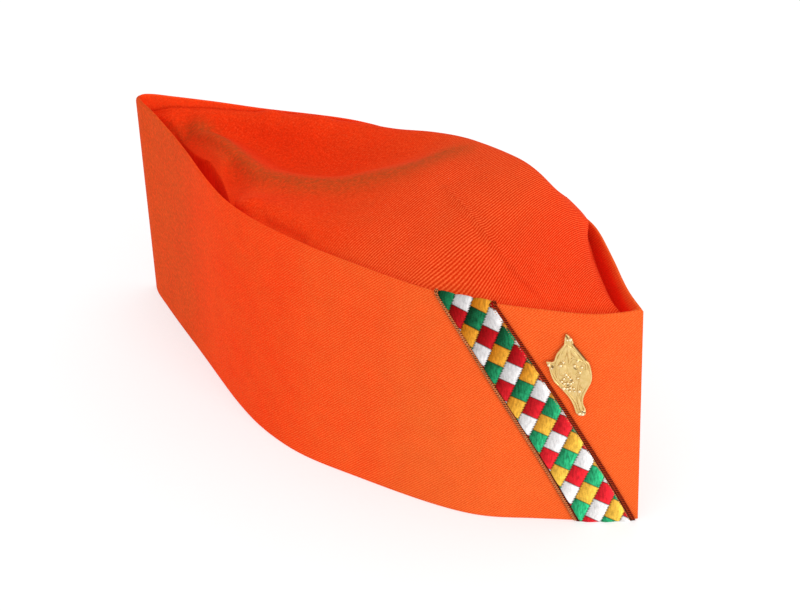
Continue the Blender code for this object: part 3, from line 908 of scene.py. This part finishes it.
def latticePlace(along, across):
    # How many strips over and blocks down a place is, for numbers or for wires
    checks = ribbonCut["checks"]
    first, second = latticeAxes()
    det = first[0] * second[1] - first[1] * second[0]
    x, y = along - checks["start"][0], across - checks["start"][1]
    strip = x * float(second[1] / det) - y * float(second[0] / det)
    down = y * float(first[0] / det) - x * float(first[1] / det)
    return strip, down


def ribbonMiddle(g):
    # The ribbon's middle, along the wall from the front tip, g below the rim's fold
    down = g / bandTop
    return (ribbonCut["top"] + (ribbonCut["foot"] - ribbonCut["top"]) * down
            - 4 * ribbonCut["bow"] * down * (1 - down))


def ribbonTurn(g):
    # Height on the wall and turn round the rim for a way down the ribbon
    radius = bandCut["rim"]
    turn = np.clip(-g / radius, 0, math.pi)
    z = np.where(g > 0, bandTop - g, bandTop + np.minimum(g + math.pi * radius, 0))
    return z, turn


def ribbonLocal(g, across):
    # The same place as along and across the ribbon, square to it
    fine = np.linspace(-12 * mm, bandTop, 400)   # past its end inside the rim
    slope = -np.gradient(ribbonMiddle(fine), fine)
    length = np.concatenate(([0], np.cumsum(np.hypot(1, slope[:-1]) * np.diff(fine))))
    length -= np.interp(0, fine, length)
    lean = np.arctan(np.interp(g, fine, slope))
    slack = np.array(ribbonCut["slack"]) * mm
    along = np.interp(g, fine, length) - np.interp(g, slack[:, 0], slack[:, 1])
    return along + across * np.sin(lean), across * np.cos(lean)


def onRibbon(table, g, across, lift):
    # A point of the ribbon: g below the rim, across towards the front, lift off the wall
    radius = bandCut["rim"]
    z, turn = ribbonTurn(g)
    place, out = wallPoint(table, ribbonMiddle(g) - across, z)
    way = out * np.cos(turn)[..., None] + np.array((0, 0, 1)) * np.sin(turn)[..., None]
    return place - out * radius + way * (radius + ribbonCut["gap"] + lift)[..., None]


def blockPad(along, across):
    # How far a satin block stands up: full in its middle, none at its seams
    strip, down = latticePlace(along / mm, across / mm)
    down = down - (1 + ribbonCut["checks"]["shift"]) * np.round(strip)
    edges = []
    for value, side in zip((strip, down), latticeAxes()):
        edges.append((0.5 - np.abs(value - np.round(value))) * np.linalg.norm(side))
    rise = 1 - np.exp(-(np.minimum(*edges) * mm / ribbonCut["seam"]) ** 2)
    return ribbonCut["pad"] * rise ** ribbonCut["fullness"]


def makeRibbon(table):
    print("ribbon")
    gs = np.arange(bandTop, ribbonEnd, -ribbonCut["step"])
    side = ribbonHalf - ribbonCut["edge"]
    g, across = np.meshgrid(gs, np.linspace(-side, side, ribbonCut["columns"]), indexing="ij")
    along, square = ribbonLocal(g, across)
    face = blockPad(along, square) * ease(ribbonHalf - np.abs(across), *ribbonCut["margin"])
    points = onRibbon(table, g, across, ribbonCut["thick"] + face)
    points[0, :, 2] = np.maximum(points[0, :, 2], ribbonCut["lowest"])
    ribbon = clothGrid("ribbonSatin", points, np.stack([along, square], -1))
    applied(ribbon, "SOLIDIFY", thickness=ribbonCut["thick"], offset=-1, use_rim=True)
    smoothShaded(ribbon, 60)
    return ribbon


def tube(name, path, out, radius, sides=10, ply=0.0, pitch=1.5 * mm):
    # A cord round a path, with its turned strands, closed at both ends; out is its upper side
    along = np.gradient(path, axis=0)
    along /= np.linalg.norm(along, axis=1, keepdims=True)
    side = np.cross(along, out)
    side /= np.linalg.norm(side, axis=1, keepdims=True)
    up = np.cross(side, along)
    run = runAlong(path)
    turns = np.linspace(0, 2 * math.pi, sides + 1)
    rows = []
    for turn in turns:
        size = radius * (1 + ply * np.cos(2 * turn - 2 * math.pi * run / pitch))
        size[0] = size[-1] = 1e-7
        rows.append(path + (side * math.cos(turn) + up * math.sin(turn)) * size[:, None])
    points = np.array(rows)
    cloth = np.zeros((*points.shape[:2], 2))
    cloth[..., 0] = run
    cloth[..., 1] = (radius * turns)[:, None]
    cord = clothGrid(name, points, cloth)
    weld(cord, distance=1e-6, closed=True)
    smoothShaded(cord, 70)
    return cord


def makeSelvedge(table, name, side, cords):
    # Twisted cords along one edge of the ribbon
    print(name)
    gs = np.arange(bandTop - ribbonCut["cordStart"], ribbonEnd, -ribbonCut["cordStep"])
    made = []
    for inset, radius in cords:
        across = np.full(len(gs), side * (ribbonHalf - inset * mm))
        path, above = (onRibbon(table, gs, across, np.full(len(gs), ribbonCut["thick"] + lift))
                       for lift in (0, mm))
        made.append(tube("cord", path, above - path, radius * mm, ply=ribbonCut["ply"],
                         pitch=ribbonCut["twist"]))
    return joined(made, name)


def makeDashes(table):
    # Pale threads that cross the selvedges, about one a millimetre
    print("selvedge stitches")
    first = added(bpy.ops.mesh.primitive_uv_sphere_add, segments=8, ring_count=6, radius=mm)
    made = []
    for row in ribbonCut["dashes"]:
        gs = np.arange(bandTop - ribbonCut["dashStart"], ribbonEnd, -row["every"] * mm)
        across = np.full(len(gs), row["side"] * (ribbonHalf - row["inset"] * mm))
        lift = np.full(len(gs), ribbonCut["thick"] + row["lift"] * mm)
        here = onRibbon(table, gs, across, lift)
        side = onRibbon(table, gs, across + mm, lift) - here
        above = onRibbon(table, gs, across, lift + mm) - here
        for place, right, out in zip(here, side, above):
            right, out = Vector(right).normalized(), Vector(out).normalized()
            turn = Matrix.Rotation(row["lean"], 3, out)
            axes = Matrix((turn @ right, turn @ out.cross(right), out)).transposed().to_4x4()
            dash = first.copy()
            dash.data = first.data.copy()
            bpy.context.collection.objects.link(dash)
            placed(dash, Matrix.Translation(place) @ axes @ Matrix.Diagonal((*row["half"], 1)))
            made.append(dash)
    bpy.data.objects.remove(first, do_unlink=True)
    stitches = joined(made, "ribbonStitches")
    smoothShaded(stitches, 80)
    return stitches


def satinMaterial():
    # Four colours of satin block, laid out by the same steps as the blocks' relief, with painted
    # shade and shine down the ribbon and across each block
    checks = ribbonCut["checks"]
    sizes = checks["sizes"]
    material, wires, shader = newMaterial(
        "satinChecks", Roughness=checks["roughness"], Specular_IOR_Level=checks["gloss"])
    cloth = wires.clothPlace()
    along, across = cloth.part("X") / mm, cloth.part("Y") / mm
    ragged = (cloth.noise(sizes["ragged"], detail=2) - 0.5) * checks["ragged"]
    jog = (((along / checks["stitch"]).wave() > 0.5) - 0.5) * checks["jog"]
    strip, down = latticePlace(along + ragged + jog, across + jog)
    number = strip.maths("ROUND", strip)
    down = down - number * (1 + checks["shift"])
    block = down.maths("ROUND", down)
    # A block's colour goes by its place down its strip and by its strip
    kind = ((number + block * 2) * -1 + 2.5) % 4
    dull, bright = wires.dye(checks["dull"][0]), wires.dye(checks["bright"][0])
    uneven = checks["mottles"][0]
    for k in range(1, 4):
        reached = kind > k
        dull = dull.mixed(reached, checks["dull"][k])
        bright = bright.mixed(reached, checks["bright"][k])
        uneven = reached * (checks["mottles"][k] - checks["mottles"][k - 1]) + uneven
    # Painted shine: each dye goes from its shaded copy to its lit one down the ribbon and across each
    # block
    shine = along.rise(0, checks["spread"]) * (1 - checks["shine"]) + checks["shine"] / 2
    shine = (shine + (strip - number) * checks["shine"]).clamped()
    colour = dull.mixed(shine.maths("POWER", shine, checks["bias"]), bright)
    edges = []
    for value, side in zip((strip - number, down - block), latticeAxes()):
        edges.append((0.5 - value.maths("ABSOLUTE", value)) * float(np.linalg.norm(side)))
    seam = 1 - edges[0].maths("MINIMUM", *edges).rise(*checks["seams"])
    threads = cloth.noise(sizes["threads"], detail=2, stretch=checks["stretch"], turn=checks["lie"])
    threads = threads - 0.5
    mottle = cloth.noise(sizes["mottle"], detail=4, roughness=0.7) - 0.5
    grain = (threads * checks["threads"] + mottle * checks["mottle"]) * uneven
    light = checks["level"] * (1 + grain) * (1 - seam * checks["seamShade"])
    # Painted light across each block and along the front selvedge
    light = light * (1 + (strip - number) * checks["slant"])
    light = light * (1 + across.rise(*checks["endsFrom"]) * checks["ends"])
    light = light.maths("MAXIMUM", light, checks["darkest"])
    border = (across > checks["frontEdge"]) + (checks["backEdge"] - across > 0)
    colour = colour.mixed(border.clamped(), checks["maroon"])
    feed(wires, shader, Base_Color=colour.darker(light), Normal=threads.relief(*checks["relief"]))
    return material


def threadMaterial(name, dyes, twist=0):
    # Thread of two shades; a twisted cord shows them in turn along its length
    thread = ribbonCut["thread"]
    material, wires, shader = newMaterial(
        name, Roughness=thread["roughness"], Specular_IOR_Level=thread["gloss"])
    mottle = wires.objectPlace().noise(thread["size"], detail=2)
    if twist:
        cloth = wires.clothPlace()
        strands = ((cloth.part("X") - cloth.part("Y")) / twist).wave()
        mottle = strands * thread["strands"] + mottle * thread["mottle"] - thread["paler"]
    first, second = (linear(*dye) for dye in dyes)
    colour = wires.dye(first).mixed(mottle.rise(*thread["shades"]), second)
    feed(wires, shader, Base_Color=colour, Normal=mottle.relief(*thread["relief"]))
    return material


# Badge

badgePin = dict(
    place=26.7 * mm,      # middle, along the wall from the front tip
    up=74.2 * mm,
    tilt=math.radians(9.5),
    seat=(-19 * mm, 17 * mm),   # the wall under it, below and above its middle
    gap=0.1 * mm,
    plate=0.9 * mm,
    voxel=0.14 * mm,      # how finely its parts are melted into one
    rimInset=0.955,
    rimRadius=0.36,       # radii and lifts in millimetres
    veinRadius=0.23,
    veinLift=0.12,
    beadLift=0.3,
    postRadius=0.6 * mm,
    postInto=0.4 * mm,    # how far the post reaches into the plate, and past the wall
    postPast=1.0 * mm,
    polish=0.85,          # size of the painted highlight on the beads' tops, as a share of their radius
    polishFacing=(0.3, 0.9),
    tarnishEdge=(0.6, 1.3),
    gold=dict(            # each layer's greatest share and its colour on screen
        body=(218, 186, 116),
        pale=(0.60, (238, 210, 150)),
        # painted shade in the hollows
        hollow=(0.70, (160, 116, 44)),
        # painted highlight on the beads
        bright=(0.62, (255, 248, 226)),
        # painted shadow along the edge, and dark pits
        tarnish=(0.75, (80, 50, 20)),
        mottle=(0.35, 0.7),        # where its pale mottle starts and is full
        hollows=(0.44, 0.51),      # and its painted shade in the hollows
        sizes=(700, 2600),         # of the mottle and of the fine grain, repeats in a metre
        relief=(0.35, 0.06 * mm),
        rough=(0.30, 0.16),        # least, and how much the mottle adds
        metal=0.75,
        gloss=0.5),
    clutch=dict(body=(0.55, 0.55, 0.55), brushed=(0.38, 0.38, 0.39), share=0.5,
                size=1800, stretch=(1, 1, 0.1), rough=(0.28, 0.2)),
    outline=(             # millimetres, right and up from the middle, anticlockwise from the top
        (0.3, 19.0), (-0.5, 16.2), (-1.3, 14.2), (-4.6, 10.4), (-6.4, 7.0), (-9.1, 7.2),
        (-8.6, 5.4), (-8.5, 2.4), (-7.8, -2.1), (-5.8, -5.6), (-3.0, -11.0), (-1.8, -15.6),
        (-1.4, -19.1), (-0.2, -20.1), (1.8, -19.7), (2.1, -17.7), (1.6, -14.8), (2.3, -11.5),
        (4.5, -7.6), (6.6, -4.0), (7.3, -0.3), (7.1, 4.4), (6.1, 6.2), (3.9, 11.0),
        (2.4, 14.1), (2.4, 16.4), (1.3, 18.2)),
    veins=(               # centre lines of the raised ribs, in millimetres
        ((-0.2, 14.7), (-3.2, 10.2), (-5.7, 5.0), (-6.0, -0.8), (-4.9, -4.1), (-2.4, -9.0)),
        ((0.2, 13.4), (-1.3, 9.8), (-2.5, 6.6), (-2.9, 3.4)),
        ((0.7, 12.8), (0.2, 8.8), (-0.6, 5.2)),
        ((1.6, 12.9), (4.2, 8.6), (5.8, 4.5)),
        ((-0.4, 5.7), (1.3, 7.7), (3.2, 6.9), (5.8, 4.4), (4.7, 0.4), (2.4, -1.6), (0.8, -2.6)),
        ((5.9, -0.9), (3.8, -2.0), (2.2, -3.4), (1.1, -6.6), (0.7, -10.7), (0.6, -15.6)),
        ((6.5, -2.2), (4.6, -6.3), (2.4, -9.8), (1.4, -13.4)),
        ((-7.6, 4.6), (-7.2, 1.0), (-5.8, -3.4), (-3.0, -8.6), (-0.9, -13.4), (-0.5, -17.0)),
        ((1.6, 4.6), (2.6, 3.0), (2.4, 0.9), (1.2, -0.2)),
    ),
    petals=(              # middle, half length, half width, rise and turn in degrees
        ((-1.9, 9.9), 4.0, 0.9, 0.55, 64),
        ((0.2, 10.2), 3.8, 0.7, 0.55, 86),
        ((2.0, 10.2), 3.6, 0.9, 0.50, 112),
        ((-4.2, 7.4), 3.4, 0.8, 0.50, 58),
        ((4.3, -2.6), 4.6, 2.2, 0.50, 74),
        ((-3.4, 2.4), 2.6, 1.4, 0.40, 70),
        ((0.5, -14.6), 4.4, 0.7, 0.60, 94),
    ),
    beads=(               # middle and radius
        ((1.8, 16.8), 0.85), ((0.6, 16.6), 0.5), ((-8.2, 5.9), 0.8), ((-7.4, 4.2), 0.55),
        ((-3.8, 5.1), 0.7), ((-2.5, 6.5), 0.6), ((1.5, 4.5), 0.65), ((2.9, 6.4), 0.5),
        ((4.1, 3.4), 0.6), ((3.0, 1.0), 0.6), ((1.8, -1.5), 0.5), ((1.4, -7.8), 0.75),
        ((-2.4, 0.6), 0.6), ((-1.8, -0.5), 0.6), ((-1.1, -1.6), 0.55), ((-3.5, -1.3), 0.6),
        ((-4.6, -2.5), 0.6), ((-3.8, -3.6), 0.6), ((-2.5, -3.5), 0.6), ((-1.3, -3.8), 0.55),
        ((-0.4, -3.2), 0.5), ((-4.4, -5.8), 0.8), ((-3.1, -6.1), 0.6), ((-1.8, -5.8), 0.6),
        ((-0.6, -6.3), 0.55), ((-0.4, -7.6), 0.5), ((-2.2, -7.4), 0.55),
        ((0.9, -18.9), 0.85), ((-0.3, -18.6), 0.75), ((1.5, -17.7), 0.5),
    ),
    marks=(               # painted shadow along its edge and dark pits, with half widths
        (((2.5, 14.4), (3.8, 11.3), (6.2, 6.4)), 0.42),
        (((0.5, 18.4), (0.8, 17.8)), 0.45),
        (((-7.1, 4.9), (-6.9, 4.5)), 0.4),
        (((0.9, -17.6), (1.9, -18.4)), 0.3),
        (((1.0, 3.2), (1.7, 2.4)), 0.3),
        (((-1.2, -2.6), (-0.7, -2.4)), 0.3),
        (((-2.9, -4.8), (-2.4, -4.7)), 0.3),
    ),
)


def badgeBright(places):
    # Painted highlight on the tops of the beads, where they face out
    flat = places[:, :2] / mm
    share = np.zeros(len(flat))
    for middle, radius in badgePin["beads"]:
        away = np.linalg.norm(flat - np.array(middle), axis=1)
        share = np.maximum(share, np.exp(-(away / (badgePin["polish"] * radius)) ** 2))
    return share * ease(places[:, 5], *badgePin["polishFacing"])


def badgeTarnish(places):
    # Painted shadow along the plate's edge, and dark pits
    flat = places[:, :2] / mm
    share = np.zeros(len(flat))
    for line, half in badgePin["marks"]:
        low, high = (half * edge for edge in badgePin["tarnishEdge"])
        share = np.maximum(share, 1 - ease(distanceTo(flat, line), low, high))
    return share


def badgeFrame(table):
    # The pin's place: X towards the front, Y up the wall, Z out of it
    here, out = wallPoint(table, badgePin["place"], badgePin["up"])
    low, high = (wallPoint(table, badgePin["place"], badgePin["up"] + reach)[0]
                 for reach in badgePin["seat"])
    up = Vector(high - low).normalized()
    right = up.cross(Vector(out)).normalized()
    out = right.cross(up)
    # It stands off the wall far enough to clear every place under it
    s, z = np.meshgrid(np.linspace(-8, 8, 9) * mm, np.linspace(*badgePin["seat"], 12))
    under = wallPoint(table, badgePin["place"] + s, badgePin["up"] + z)[0]
    lift = float(((under - here) @ np.array(out)).max())
    turn = Matrix.Rotation(badgePin["tilt"], 3, out)
    axes = Matrix((turn @ right, turn @ up, out)).transposed()
    return Matrix.Translation(Vector(here) + out * lift) @ axes.to_4x4()


def rounded(corners, count, closed=True):
    # A smooth line through corners
    corners = np.array(corners, float)
    total = len(corners) if closed else len(corners) - 1
    points = []
    for i in range(total):
        if closed:
            p = [corners[(i + k) % len(corners)] for k in (-1, 0, 1, 2)]
        else:
            p = [corners[min(max(i + k, 0), len(corners) - 1)] for k in (-1, 0, 1, 2)]
        for t in np.arange(count) / count:
            points.append(0.5 * (2 * p[1] + (p[2] - p[0]) * t
                                 + (2 * p[0] - 5 * p[1] + 4 * p[2] - p[3]) * t * t
                                 + (3 * p[1] - p[0] - 3 * p[2] + p[3]) * t ** 3))
    if not closed:
        points.append(corners[-1])
    return np.array(points)


def flatPath(points, height):
    return np.concatenate([points, np.full((len(points), 1), height)], 1) * mm

def badgePlate():
    outline = rounded(badgePin["outline"], 5)
    plate = added(bpy.ops.mesh.primitive_circle_add, vertices=len(outline), radius=1,
                  fill_type="NGON")
    base = flatPath(outline, badgePin["gap"] / mm)
    plate.data.vertices.foreach_set("co", base.astype(np.float32).ravel())
    plate.data.update()
    bpy.ops.object.mode_set(mode="EDIT")
    bpy.ops.mesh.select_all(action="SELECT")
    bpy.ops.mesh.extrude_region_move(TRANSFORM_OT_translate={"value": (0, 0, badgePin["plate"])})
    bpy.ops.mesh.select_all(action="SELECT")
    bpy.ops.mesh.normals_make_consistent(inside=False)
    bpy.ops.object.mode_set(mode="OBJECT")
    return plate, outline


def raisedLine(line, height, radius, sides):
    upwards = np.tile((0, 0, 1.0), (len(line), 1))
    return tube("line", flatPath(line, height), upwards, radius * mm, sides=sides)


def makeBadge(table):
    print("badge")
    plate, outline = badgePlate()
    face = (badgePin["gap"] + badgePin["plate"]) / mm
    middle = outline.mean(axis=0)
    ring = middle + (outline - middle) * badgePin["rimInset"]
    raised = [plate, raisedLine(np.concatenate([ring, ring[:2]]), face, badgePin["rimRadius"], 12)]
    for vein in badgePin["veins"]:
        raised.append(raisedLine(rounded(vein, 8, closed=False), face + badgePin["veinLift"],
                                 badgePin["veinRadius"], 10))
    for (x, y), length, width, rise, turn in badgePin["petals"]:
        petal = added(bpy.ops.mesh.primitive_uv_sphere_add, segments=40, ring_count=24, radius=mm)
        axes = Matrix.Rotation(math.radians(turn), 4, "Z") @ Matrix.Diagonal((length, width, rise, 1))
        placed(petal, Matrix.Translation((x * mm, y * mm, face * mm)) @ axes)
        raised.append(petal)
    for (x, y), radius in badgePin["beads"]:
        bead = added(bpy.ops.mesh.primitive_ico_sphere_add, subdivisions=3, radius=radius * mm)
        placed(bead, Matrix.Translation((x * mm, y * mm, (face + badgePin["beadLift"]) * mm)))
        raised.append(bead)
    badge = joined(raised, "badgeGold")
    applied(badge, "REMESH", mode="VOXEL", voxel_size=badgePin["voxel"])
    applied(badge, "SMOOTH", factor=0.5, iterations=2)
    paint(badge, bright=badgeBright, tarnish=badgeTarnish)
    badge = joined([badge, postPiece()], "badgeGold")
    placed(badge, badgeFrame(table))
    smoothShaded(badge, 70)
    return badge


def postPiece():
    # The post that goes through the band to the clutch
    top = badgePin["gap"] + badgePin["postInto"]
    foot = -(bandCut["wall"] + badgePin["gap"] + badgePin["postPast"])
    post = added(bpy.ops.mesh.primitive_cylinder_add, vertices=16, radius=badgePin["postRadius"],
                 depth=top - foot)
    placed(post, Matrix.Translation((0, 0, (top + foot) / 2)))
    return post


def goldMaterial():
    gold = badgePin["gold"]
    material, wires, shader = newMaterial(
        "paleGold", Metallic=gold["metal"], Specular_IOR_Level=gold["gloss"])
    mottle, fine = (wires.objectPlace().noise(size, detail=detail)
                    for size, detail in zip(gold["sizes"], (3, 2)))
    sharp = wires.add("NewGeometry", {}, {}, out=7)
    layers = dict(pale=mottle.rise(*gold["mottle"]), hollow=1 - sharp.rise(*gold["hollows"]),
                  bright=wires.painted("bright"), tarnish=wires.painted("tarnish"))
    colour = wires.dye(linear(*gold["body"]))
    for name, share in layers.items():
        most, shade = gold[name]
        colour = colour.mixed(share * most, linear(*shade))
    smooth, rougher = gold["rough"]
    feed(wires, shader, Base_Color=colour, Roughness=smooth + mottle * rougher,
         Normal=fine.relief(*gold["relief"]))
    return material


def clutchMaterial():
    steel = badgePin["clutch"]
    material, wires, shader = newMaterial("clutchSteel", Metallic=1.0)
    brushed = wires.objectPlace().noise(steel["size"], detail=2, stretch=steel["stretch"])
    smooth, rougher = steel["rough"]
    feed(wires, shader, Roughness=smooth + brushed * rougher,
         Base_Color=wires.dye(steel["body"]).mixed(brushed * steel["share"], steel["brushed"]))
    return material


# Camera, light and floor

studio = dict(
    azimuth=38.76,        # of the camera, in degrees
    elevation=35.84,
    roll=-0.59,
    distance=0.9,
    right=10.4 * mm,      # how far the aim is from the middle of the base
    up=37.6 * mm,
    zoom=2.294,           # picture points for each millimetre at the aim
    width=800,
    sensor=36,
    lamp=(1.15, -0.28, 0.42),
    lampAim=(0, 0, 0.05),
    power=5.0,
    size=0.45,
    sky=1.0,
    floor=6,
    floorGap=0.1 * mm,
    paper=(0.50, 0.49),   # its two greys
    paperLight=0.53,
)


def makeCamera():
    azimuth, elevation = math.radians(studio["azimuth"]), math.radians(studio["elevation"])
    right = Vector((math.cos(azimuth), math.sin(azimuth), 0))
    ahead = Vector((-math.sin(azimuth) * math.cos(elevation),
                    math.cos(azimuth) * math.cos(elevation), -math.sin(elevation)))
    up = right.cross(ahead)
    turn = Matrix.Rotation(math.radians(-studio["roll"]), 3, ahead)
    camera = bpy.data.cameras.new("camera")
    camera.sensor_width = studio["sensor"]
    camera.lens = studio["zoom"] * studio["distance"] / mm * studio["sensor"] / studio["width"]
    holder = bpy.data.objects.new("camera", camera)
    axes = Matrix((turn @ right, turn @ up, -ahead)).transposed().to_4x4()
    aim = right * studio["right"] + up * studio["up"]
    holder.matrix_world = Matrix.Translation(aim - ahead * studio["distance"]) @ axes
    bpy.context.scene.collection.objects.link(holder)
    bpy.context.scene.camera = holder


def makeLights():
    lamp = bpy.data.lights.new("keyLight", "AREA")
    lamp.energy = studio["power"]
    lamp.size = studio["size"]
    holder = bpy.data.objects.new("keyLight", lamp)
    holder.location = studio["lamp"]
    way = Vector(studio["lampAim"]) - Vector(studio["lamp"])
    holder.rotation_euler = way.to_track_quat("-Z", "Y").to_euler()
    bpy.context.scene.collection.objects.link(holder)
    world = bpy.data.worlds.new("studio")
    bpy.context.scene.world = world
    world.use_nodes = True
    back = world.node_tree.nodes["Background"]
    back.inputs["Color"].default_value = (1, 1, 1, 1)
    back.inputs["Strength"].default_value = studio["sky"]
    bpy.context.scene.view_settings.view_transform = "Standard"


def makeFloor():
    floor = added(bpy.ops.mesh.primitive_plane_add, size=studio["floor"],
                  location=(0, 0, cadBox[0].z - studio["floorGap"]))
    floor.name = "floor"
    material, wires, shader = newMaterial(
        "palePaper", Roughness=0.9, Specular_IOR_Level=0.1, Emission_Color=(1, 1, 1, 1),
        Emission_Strength=studio["paperLight"])
    light, dark = ((grey,) * 3 for grey in studio["paper"])
    mottle = wires.objectPlace().noise(8, detail=2)
    feed(wires, shader, Base_Color=wires.dye(light).mixed(mottle * 0.1, dark))
    floor.data.materials.append(material)


makeCamera()
makeLights()
makeFloor()
band, bandRows = makeBand()
wall = wallTable(bandRows)
dress(band, twillMaterial("bandTwillCloth", **bandCut["cloth"]), "band")
crown = makeCrown()
dress(crown, twillMaterial("crownTwillCloth", **crownCut["cloth"]), "crown")
dress(makeRibbon(wall), satinMaterial(), "ribbon")
for edge in ribbonCut["selvedges"]:
    dress(makeSelvedge(wall, edge["name"], edge["side"], edge["cords"]),
          threadMaterial(edge["name"] + "Thread", edge["dyes"], twist=ribbonCut["twist"]))
dress(makeDashes(wall), threadMaterial("paleStitch", ribbonCut["dashDyes"]))
dress(makeBadge(wall), goldMaterial(), "badge")
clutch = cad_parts["badge_clutch"]
clutch.data.materials.clear()
clutch.data.materials.append(clutchMaterial())

for piece in (band, crown):
    print(piece.name, sum(len(p.vertices) - 2 for p in piece.data.polygons))
